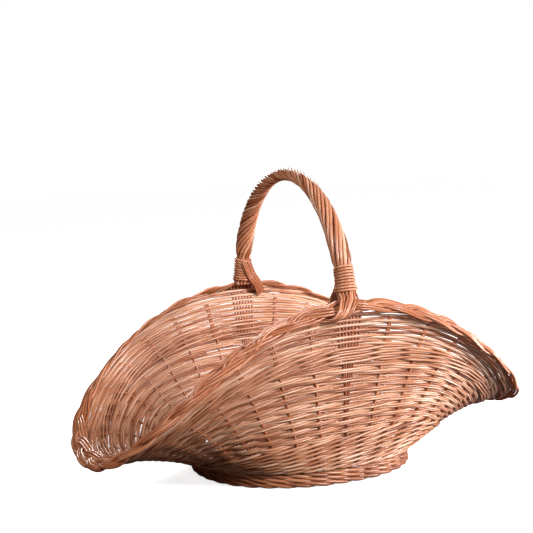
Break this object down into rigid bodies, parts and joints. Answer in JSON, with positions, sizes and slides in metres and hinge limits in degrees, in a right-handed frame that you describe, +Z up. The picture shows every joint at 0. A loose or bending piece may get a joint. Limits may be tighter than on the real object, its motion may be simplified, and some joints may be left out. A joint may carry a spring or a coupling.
{
  "type": "wicker log basket",
  "caption": "Gondola-shaped willow log basket with low open ends, a plaited border and a fixed roped bow handle.",
  "frame": {"origin": "centre of the foot's underside, on the surface the basket stands on", "axes": "+X along the basket's length, +Y across it in the handle's plane, +Z up"},
  "size_m": [0.6106, 0.3912, 0.4],
  "materials": {
    "willow_weavers": "peeled rod, satin",
    "willow_rods": "peeled rod, satin",
    "willow_sticks": "peeled stick, dull"
  },
  "bodies": {
    "root": {"base_cross_stick_1": "willow_sticks", "base_cross_stick_2": "willow_sticks", "base_cross_stick_3": "willow_sticks", "base_cross_stick_4": "willow_sticks", "base_cross_stick_5": "willow_sticks", "base_length_stick_1": "willow_sticks", "base_length_stick_2": "willow_sticks", "base_length_stick_3": "willow_sticks", "base_length_stick_4": "willow_sticks", "base_weave": "willow_weavers", "border_strand_1": "willow_rods", "border_strand_2": "willow_rods", "border_strand_3": "willow_rods", "far_binding": "willow_rods", "far_tie": "willow_rods", "foot_wale": "willow_weavers", "handle_bow": "willow_sticks", "handle_roping_far": "willow_rods", "handle_roping_near": "willow_rods", "lower_siding": "willow_weavers", "middle_siding": "willow_weavers", "near_binding": "willow_rods", "near_tie": "willow_rods", "stake_01": "willow_rods", "stake_02": "willow_rods", "stake_03": "willow_rods", "stake_04": "willow_rods", "stake_05": "willow_rods", "stake_06": "willow_rods", "stake_07": "willow_rods", "stake_08": "willow_rods", "stake_09": "willow_rods", "stake_11": "willow_rods", "stake_12": "willow_rods", "stake_13": "willow_rods", "stake_14": "willow_rods", "stake_15": "willow_rods", "stake_16": "willow_rods", "stake_17": "willow_rods", "stake_18": "willow_rods", "stake_19": "willow_rods", "stake_20": "willow_rods", "stake_21": "willow_rods", "stake_22": "willow_rods", "stake_23": "willow_rods", "stake_24": "willow_rods", "stake_25": "willow_rods", "stake_26": "willow_rods", "stake_27": "willow_rods", "stake_29": "willow_rods", "stake_30": "willow_rods", "stake_31": "willow_rods", "stake_32": "willow_rods", "stake_33": "willow_rods", "stake_34": "willow_rods", "stake_35": "willow_rods", "stake_36": "willow_rods", "upper_siding": "willow_weavers", "upsett_wale": "willow_weavers", "waist_wale": "willow_weavers"}
  },
  "joints": []
}
